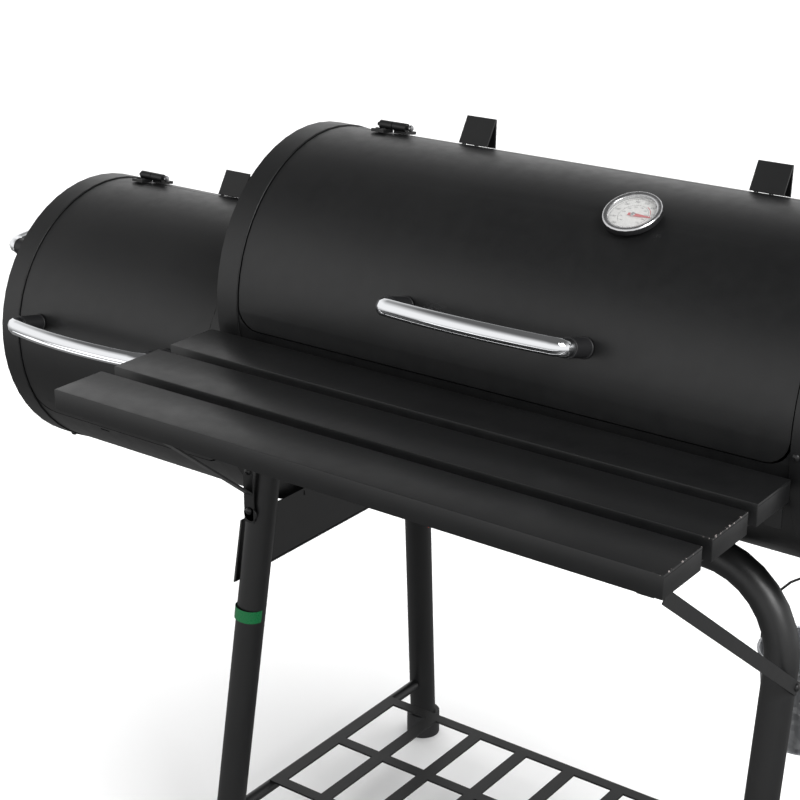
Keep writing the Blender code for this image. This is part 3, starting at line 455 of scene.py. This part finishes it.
handle_collars("main_handle", out_of_drum(AXIS_Z), "main_lid")
handle_collars("firebox_handle", out_of_drum(FIREBOX_Z), "firebox_lid")
handle_collars("lift_handle", lambda point: Vector((-1, 0, 0)), "stand")


# ---- hinges and lid stops -----------------------------------------------------------
HINGE_DEGREES = 99.15            # the hinge line lies over the seam behind the lid
LEAF_BOLT_DEGREES = 4.0
LEAF_TOP = 0.0044                # leaf's outer face above the drum


def leaf_bolts(node, body, side):
    """Two round heads on a hinge leaf, on its far side from the pin."""
    low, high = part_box(node)
    centre_z = AXIS_Z if node.startswith("main") else FIREBOX_Z
    middle = (low.x + high.x) / 2
    degrees = HINGE_DEGREES + side * LEAF_BOLT_DEGREES
    places = [on_drum(middle + shift, degrees, LEAF_TOP, centre_z) for shift in (-0.0048, 0.0048)]
    bolts(node + "_bolts", places, body, dome_bolt, 0.0032)


for hinge in ("main_hinge_left", "main_hinge_right", "firebox_hinge_left", "firebox_hinge_right"):
    lid_body = "main_lid" if hinge.startswith("main") else "firebox_lid"
    leaf_bolts(hinge + "_lid_leaf", lid_body, -1)
    leaf_bolts(hinge + "_body_leaf", "stand", 1)
    low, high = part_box(hinge + "_body_leaf")
    pin = joints[lid_body + "_hinge"]["pos_m"]
    head = bmesh.new()
    lathe(head, [(0, 0), (0.0042, 0), (0.0044, 0.0006), (0.0038, 0.0020), (0.0020, 0.0026), (0, 0.0026)],
          along((1, 0, 0), (high.x, pin[1], pin[2])), 20)
    new_piece(hinge + "_pin_head", head, bolt_zinc, "stand")

STOP_FOOT_DEGREES = 102.6         # the front foot of a folded lid stop
for stop in ("main_lid_stop_left", "main_lid_stop_right", "firebox_lid_stop"):
    low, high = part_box(stop)
    centre_z = AXIS_Z if stop.startswith("main") else FIREBOX_Z
    middle = (low.x + high.x) / 2
    places = [on_drum(middle + shift, STOP_FOOT_DEGREES, 0.0002, centre_z) for shift in (-0.011, 0.007)]
    bolts(stop + "_bolts", places, "stand", dome_bolt, 0.0026)


# ---- thermometer --------------------------------------------------------------------
gauge_x = Vector((1, 0, 0))
gauge_y = GAUGE_AXIS.cross(gauge_x)
gauge_turn = Matrix((gauge_x, gauge_y, GAUGE_AXIS)).transposed().to_4x4()
GAUGE_FRAME = Matrix.Translation(GAUGE_CENTRE) @ gauge_turn
DIAL_FACE = 0.0044               # just above the dial, along the gauge's axis
OUTER_SCALE = 0.0268
INNER_SCALE = 0.0166
LINE = 0.0003
ink = printed("dial_ink", (0.02, 0.02, 0.022))
ink_red = printed("dial_ink_red", (0.55, 0.03, 0.03))


def dial_point(radius, degrees):
    """Place on the printed face of the dial."""
    angle = math.radians(degrees)
    return GAUGE_FRAME @ Vector((radius * math.cos(angle), radius * math.sin(angle), DIAL_FACE))


def arc(shape, radius, width, first, last, steps=60):
    """Add a thin printed arc to a bmesh."""
    previous = None
    for i in range(steps + 1):
        degrees = first + (last - first) * i / steps
        pair = [shape.verts.new(dial_point(radius + side * width / 2, degrees)) for side in (-1, 1)]
        if previous:
            shape.faces.new((previous[0], previous[1], pair[1], pair[0]))
        previous = pair


def tick(shape, inner, outer, degrees, width):
    """Add one radial mark of a scale to a bmesh."""
    half = math.degrees(width / 2 / outer)
    first, last = degrees - half, degrees + half
    corners = [(inner, first), (outer, first), (outer, last), (inner, last)]
    shape.faces.new([shape.verts.new(dial_point(radius, angle)) for radius, angle in corners])


SCALE_START, SCALE_END = 225.0, -45.0
scale = bmesh.new()
arc(scale, OUTER_SCALE, LINE, SCALE_END, SCALE_START)
arc(scale, INNER_SCALE, LINE, SCALE_END, SCALE_START)
for i in range(55):
    degrees = SCALE_START + (SCALE_END - SCALE_START) * i / 54
    long_tick = i % 6 == 0
    tick(scale, 0.0246 if long_tick else 0.0256, OUTER_SCALE, degrees, 0.0005 if long_tick else LINE)
    if i % 3 == 0:
        tick(scale, INNER_SCALE, INNER_SCALE + 0.0010, degrees, LINE)
new_piece("dial_scale", scale, ink, "main_lid")
warm = bmesh.new()
arc(warm, 0.0186, 0.0008, 0.0, 60.0, 30)
new_piece("dial_band", warm, ink_red, "main_lid")


def dial_number(name, value, radius, degrees, size):
    """One printed number of the scale, as a thin mesh."""
    text = bpy.data.curves.new(name, "FONT")
    text.body = str(value)
    text.size = size
    text.align_x = "CENTER"
    text.align_y = "CENTER"
    holder = bpy.data.objects.new(name + "_text", text)
    bpy.context.scene.collection.objects.link(holder)
    bpy.context.view_layer.update()
    graph = bpy.context.evaluated_depsgraph_get()
    mesh = bpy.data.meshes.new_from_object(holder.evaluated_get(graph))
    bpy.data.objects.remove(holder, do_unlink=True)
    angle = math.radians(degrees)
    shift = Vector((radius * math.cos(angle), radius * math.sin(angle), DIAL_FACE))
    mesh.transform(GAUGE_FRAME @ Matrix.Translation(shift))
    return mesh


numbers = bmesh.new()
for i in range(10):
    degrees = SCALE_START + (SCALE_END - SCALE_START) * i / 9
    for value, radius, size in ((100 + 50 * i, 0.0221, 0.0038), (40 + 30 * i, 0.0138, 0.0028)):
        mesh = dial_number(f"number_{value}", value, radius, degrees, size)
        numbers.from_mesh(mesh)
        bpy.data.meshes.remove(mesh)
new_piece("dial_numbers", numbers, ink, "main_lid")

hub = bmesh.new()
hub_profile = [(0, 0), (0.0026, 0), (0.0027, 0.0004), (0.0023, 0.0011), (0.0012, 0.0014), (0, 0.0014)]
lathe(hub, hub_profile, GAUGE_FRAME @ Matrix.Translation((0, 0, 0.0060)), 28)
new_piece("needle_hub", hub, finishes["stainless"], "thermometer_needle")

bezel = bmesh.new()
lathe(bezel, [(0.0266, 0.0104), (0.0270, 0.0109), (0.0288, 0.0115), (0.0303, 0.0117), (0.0316, 0.0113),
              (0.0322, 0.0104)], GAUGE_FRAME, 72)
new_piece("gauge_bezel", bezel, finishes["stainless"], "main_lid", 60)
shade = bmesh.new()
lathe(shade, [(0.0322, 0.0034), (0.03265, 0.0050), (0.0328, 0.0078), (0.0327, 0.0092)], GAUGE_FRAME, 72)
new_piece("gauge_side", shade, finishes["black_plastic"], "main_lid")
nut = bmesh.new()
lathe(nut, [(0.0045, -0.0022), (0.0090, -0.0022), (0.0090, -0.0060), (0.0080, -0.0070), (0.0045, -0.0070)],
      GAUGE_FRAME, 6)
new_piece("gauge_nut", nut, bolt_zinc, "main_lid")


# ---- front shelf --------------------------------------------------------------------
shelf_bolt_places = []
for slat in ("shelf_slat_front", "shelf_slat_middle", "shelf_slat_rear"):
    low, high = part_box(slat)
    for bracket in ("shelf_bracket_left", "shelf_bracket_right"):
        bracket_low, bracket_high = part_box(bracket)
        spot = ((bracket_low.x + bracket_high.x) / 2, (low.y + high.y) / 2, bracket_high.z - 0.0027)
        shelf_bolt_places.append(along((0, 0, -1), spot))
bolts("shelf_bolts", shelf_bolt_places, "stand", hex_bolt, 0.0038, bolt_zinc, "zinc")

# Near-black strips across the slat ends are painted shadow. They stand in for the shade inside each slat's fold
# seam.
painted_seam_shadow = printed("seam_shadow", (0.004, 0.004, 0.004), 0.8)
seams = bmesh.new()
for slat in ("shelf_slat_front", "shelf_slat_middle", "shelf_slat_rear"):
    low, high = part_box(slat)
    for x in (low.x - 0.00005, high.x + 0.00005):
        plate(seams, Matrix.Identity(4), (x - 0.0001, low.y + 0.0014, high.z - 0.0031),
              (x + 0.0001, high.y - 0.0014, high.z - 0.0024), 0.00004)
new_piece("slat_fold_seams", seams, painted_seam_shadow, "stand")

left_low, left_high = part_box("shelf_bracket_left")
left_x = (left_low.x + left_high.x) / 2
bracket_places = [along((0, -1, 0), (left_x, left_high.y - 0.0027, left_low.z + height))
                  for height in (0.016, 0.070)]
bolts("left_bracket_bolts", bracket_places, "stand", dome_bolt, 0.0048)
lug = bmesh.new()
lathe(lug, [(0, 0), (0.0098, 0), (0.0101, 0.0004), (0.0101, 0.0016), (0.0096, 0.0020), (0, 0.0020)],
      along((0, -1, 0), (left_x + 0.0015, left_high.y - 0.0005, left_low.z + 0.012)), 36)
new_piece("left_bracket_lug", lug, finishes["black_paint"], "stand")
right_low, right_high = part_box("shelf_bracket_right")
bolts("right_bracket_bolts", [along((1, 0, 0), (right_high.x, right_high.y - 0.008, right_low.z + 0.010))],
      "stand", dome_bolt, 0.0048)


# ---- stand --------------------------------------------------------------------------
def tube_centre(node, z):
    """Middle of a leg's section at a height, from its own vertices."""
    points = [vertex.co for vertex in nodes[node].data.vertices]
    top = max(points, key=lambda point: point.z).z
    low = [point for point in points if point.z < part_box(node)[0].z + 0.02]
    high = [point for point in points if point.z > top - 0.02]
    foot = sum(low, Vector()) / len(low)
    head = sum(high, Vector()) / len(high)
    return foot.lerp(head, (z - foot.z) / (head.z - foot.z)), (head - foot).normalized()


def tape_band(name, node, z, width, material, turns):
    """Plain tape wound once and a bit round a leg."""
    centre, direction = tube_centre(node, z)
    shape = bmesh.new()
    place = along(direction, centre)
    steps = 56
    previous = None
    for i in range(steps + 1):
        turn = 2 * math.pi * turns * i / steps
        radius = 0.0192 + 0.00018 * i / steps
        wobble = 0.0004 * math.sin(turn * 1.7)
        across, deep = radius * math.cos(turn), radius * math.sin(turn)
        pair = [shape.verts.new(place @ Vector((across, deep, height + wobble)))
                for height in (-width / 2, width / 2)]
        if previous:
            shape.faces.new((previous[0], pair[0], pair[1], previous[1]))
        previous = pair
    return new_piece(name, shape, material, "stand")


green_tape = printed("tape_green", (0.005, 0.215, 0.062), 0.3)
red_tape = printed("tape_red", (0.60, 0.05, 0.03), 0.4)
tape_band("tape_green", "leg_front_left", AXIS_Z - 0.4100, 0.0165, green_tape, 1.12)
tape_band("tape_red", "leg_rear_left", AXIS_Z - 0.4215, 0.0060, red_tape, 1.05)


def wheel_details(node, body):
    """Ribs between hub and rim on both faces, tread grooves and a rounded hub cap."""
    low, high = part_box(node)
    centre = (low + high) / 2
    out = -1 if centre.y < AXIS_Y else 1
    half = (high.y - low.y) / 2
    ribs = bmesh.new()
    for face in (-1, 1):
        for i in range(6):
            spin = Matrix.Rotation(math.radians(60 * i), 4, "Y")
            place = Matrix.Translation(centre) @ spin
            near, far = sorted((face * (half - 0.0092), face * (half - 0.0020)))
            plate(ribs, place, (0.0170, near, -0.0022), (0.0590, far, 0.0022), 0.0008)
    new_piece(node + "_ribs", ribs, finishes["black_plastic"], body)
    tread = bmesh.new()
    tread_radius = (high.z - low.z) / 2 - 0.0011
    for shift in (-0.0085, 0.0, 0.0085):
        ring(tread, along((0, 1, 0), centre + Vector((0, shift, 0))), tread_radius, 0.0010, 72, 8)
    new_piece(node + "_tread", tread, tyre_rubber, body, 60)
    dust_cap = bmesh.new()
    under, top = half - 0.0002, half + 0.0012
    lathe(dust_cap, [(0.0115, under), (0.0155, under), (0.0152, top), (0.0115, top)],
          Matrix.Translation(centre) @ along((0, out, 0), Vector()), 32)
    new_piece(node + "_hub_rim", dust_cap, finishes["black_plastic"], body)


wheel_details("wheel_front", "wheel_front")
wheel_details("wheel_rear", "wheel_rear")

panel_low, panel_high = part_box("leg_panel")
panel_places = [along((-1, 0, 0), (panel_low.x, AXIS_Y + side * y, z)) for side in (-1, 1)
                for y, z in ((0.160, panel_high.z - 0.020), (0.172, panel_low.z + 0.018))]
bolts("panel_bolts", panel_places, "stand", dome_bolt, 0.0040)
fold = bmesh.new()
for side in (-1, 1):
    run = [Vector((panel_high.x + 0.0006, AXIS_Y + side * 0.1745, panel_high.z - 0.001)),
           Vector((panel_high.x + 0.0006, AXIS_Y + side * 0.1910, panel_low.z + 0.001))]
    sweep(fold, run, 0.0010)
sweep(fold, [Vector((panel_high.x + 0.0006, AXIS_Y - 0.190, panel_low.z + 0.0012)),
             Vector((panel_high.x + 0.0006, AXIS_Y + 0.190, panel_low.z + 0.0012))], 0.0010)
new_piece("panel_folds", fold, finishes["black_paint"], "stand")


# ---- chimney, drain and bucket ------------------------------------------------------
pipe_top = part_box("chimney_pipe")[1].z
swing = joints["chimney_damper_swing"]["pos_m"]
stack_x = swing[0] - 0.040       # the pipe's axis
elbow_z = AXIS_Z + 0.050         # where the elbow leaves the barrel's end
stack = bmesh.new()
ring(stack, along((0, 0, 1), (stack_x, AXIS_Y, pipe_top - 0.0120)), 0.0362, 0.0011, 48)
ring(stack, along((1, 0, 0), (BARREL_RIGHT + 0.0030, AXIS_Y, elbow_z)), 0.0366, 0.0014, 48)
new_piece("chimney_beads", stack, finishes["black_paint"], "stand", 60)
flange_places = []
for i in range(4):
    turn = math.radians(45 + 90 * i)
    middle = Vector((BARREL_RIGHT + 0.0028, AXIS_Y, elbow_z))
    spot = middle + 0.0435 * Vector((0, math.cos(turn), math.sin(turn)))
    flange_places.append(along((1, 0, 0), spot))
bolts("chimney_bolts", flange_places, "stand", dome_bolt, 0.0035)
press = bmesh.new()
ring(press, along((0, 0, 1), (stack_x, AXIS_Y, swing[2] + 0.0019)), 0.0240, 0.0008, 48)
new_piece("chimney_damper_bead", press, finishes["black_paint"], "chimney_damper", 60)

bucket_low, bucket_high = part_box("grease_bucket")
bucket_x = (bucket_low.x + bucket_high.x) / 2
bucket_radius = (bucket_high.x - bucket_low.x) / 2
rim = bmesh.new()
ring(rim, along((0, 0, 1), (bucket_x, AXIS_Y, bucket_high.z - 0.0004)), bucket_radius + 0.0004, 0.0016, 64)
ring(rim, along((0, 0, 1), (bucket_x, AXIS_Y, bucket_low.z + 0.0014)), 0.0452, 0.0012, 64)
new_piece("bucket_rims", rim, finishes["zinc"], "grease_bucket", 60)

turn_point = joints["air_damper_turn"]["pos_m"]
dimple = bmesh.new()
ring(dimple, along((1, 0, 0), (turn_point[0] - 0.0016, turn_point[1], turn_point[2])), 0.0425, 0.0009, 56)
new_piece("air_damper_bead", dimple, finishes["black_paint"], "air_damper", 60)

seam = bmesh.new()
for left, right, centre_z in ((BARREL_LEFT + CAP_FLANGE, BARREL_RIGHT - CAP_FLANGE, AXIS_Z),
                              (FIREBOX_LEFT + CAP_FLANGE, FIREBOX_RIGHT - CAP_FLANGE, FIREBOX_Z)):
    xs = [left + (right - left) * i / 40 for i in range(41)]
    run = [on_drum(x, 205, -0.0004, centre_z).translation for x in xs]
    sweep(seam, run, 0.0014, 6)
new_piece("drum_weld_seams", seam, finishes["black_paint"], "stand", 60)


# ---- studio -------------------------------------------------------------------------
def area_light(name, place, target, size, power):
    """Soft rectangular light aimed at a point."""
    light = bpy.data.lights.new(name, "AREA")
    light.shape = "RECTANGLE"
    light.size, light.size_y = size
    light.energy = power
    holder = bpy.data.objects.new(name, light)
    holder.location = place
    holder.rotation_euler = (Vector(target) - Vector(place)).to_track_quat("-Z", "Y").to_euler()
    bpy.context.scene.collection.objects.link(holder)
    return holder


floor_mesh = bpy.data.meshes.new("floor")
floor_mesh.from_pydata([(-14, -14, 0), (14, -14, 0), (14, 14, 0), (-14, 14, 0)], [], [(0, 1, 2, 3)])
floor = bpy.data.objects.new("floor", floor_mesh)
floor.location.z = -0.0005
bpy.context.scene.collection.objects.link(floor)
floor_mesh.materials.append(Graph("studio_floor", (0.93, 0.93, 0.93), 0.9).use(Specular_IOR_Level=0.0))
floor.visible_diffuse = False
floor.visible_glossy = False

# Pale walls near the horizon, a darker ceiling and a dim ground, as in a room with low bright surroundings.
world = bpy.data.worlds.new("studio")
world.use_nodes = True
bpy.context.scene.world = world
sky = world.node_tree
background = sky.nodes["Background"]
background.inputs["Color"].default_value = (1.0, 1.0, 1.0, 1.0)
direction = sky.nodes.new("ShaderNodeTexCoord")
parts_of = sky.nodes.new("ShaderNodeSeparateXYZ")
fade = sky.nodes.new("ShaderNodeMapRange")
fade.interpolation_type = "SMOOTHSTEP"
for socket, number in (("From Min", 0.30), ("From Max", 0.80), ("To Min", 1.05), ("To Max", 0.13)):
    fade.inputs[socket].default_value = number
ground = sky.nodes.new("ShaderNodeMapRange")
ground.interpolation_type = "SMOOTHSTEP"
for socket, number in (("From Min", -0.45), ("From Max", -0.02), ("To Min", 0.22), ("To Max", 1.0)):
    ground.inputs[socket].default_value = number
strength = sky.nodes.new("ShaderNodeMath")
strength.operation = "MULTIPLY"
sky.links.new(direction.outputs["Generated"], parts_of.inputs[0])
sky.links.new(parts_of.outputs["Z"], fade.inputs["Value"])
sky.links.new(parts_of.outputs["Z"], ground.inputs["Value"])
sky.links.new(fade.outputs["Result"], strength.inputs[0])
sky.links.new(ground.outputs["Result"], strength.inputs[1])
sky.links.new(strength.outputs[0], background.inputs["Strength"])
bpy.context.scene.view_settings.view_transform = "Standard"

area_light("softbox_right", (3.2, -1.2, 3.4), (0.1, 0.0, 0.8), (1.8, 1.8), 130)

floor_light = bpy.data.lights.new("floor_wash", "SUN")
floor_light.energy = 3.0
floor_light.angle = math.radians(70)
floor_wash = bpy.data.objects.new("floor_wash", floor_light)
bpy.context.scene.collection.objects.link(floor_wash)
floor_only = bpy.data.collections.new("floor_only")
floor_only.objects.link(floor)
floor_wash.light_linking.receiver_collection = floor_only

# Two low white cards in front, seen only by the bright metal, with a dark gap between them.
CARD_WIDTH = 4.2
CARD_GLOW = 4.6 * CARD_WIDTH     # watts per metre of a card's depth
bright_metal = bpy.data.collections.new("bright_metal")
for name, body in nodes.items():
    if name.endswith("_handle_bar") or name == "thermometer_case":
        bright_metal.objects.link(body)
bright_metal.objects.link(bpy.data.objects["gauge_bezel"])
for name, reach, depth in (("card_near", -0.62, 0.46), ("card_far", -1.75, 1.30)):
    card = area_light(name, (0.1, reach, 0.02), (0.1, reach, 1.0), (CARD_WIDTH, depth), CARD_GLOW * depth)
    card.visible_camera = False
    card.light_linking.receiver_collection = bright_metal

camera_data = bpy.data.cameras.new("camera")
camera_data.lens = 79.13
camera_data.sensor_width = 36.0
camera = bpy.data.objects.new("camera", camera_data)
bpy.context.scene.collection.objects.link(camera)
azimuth, elevation, roll = (math.radians(angle) for angle in (36.38, 21.17, 0.15))
toward = Vector((math.sin(azimuth) * math.cos(elevation), -math.cos(azimuth) * math.cos(elevation),
                 math.sin(elevation)))
camera.location = Vector((BARREL_LEFT + 1.3844, AXIS_Y - 1.6944, AXIS_Z + 0.6639))
aim = toward.to_track_quat("Z", "Y").to_matrix().to_4x4()
camera.rotation_euler = (aim @ Matrix.Rotation(roll, 4, "Z")).to_euler()
bpy.context.scene.camera = camera

bpy.context.view_layer.update()
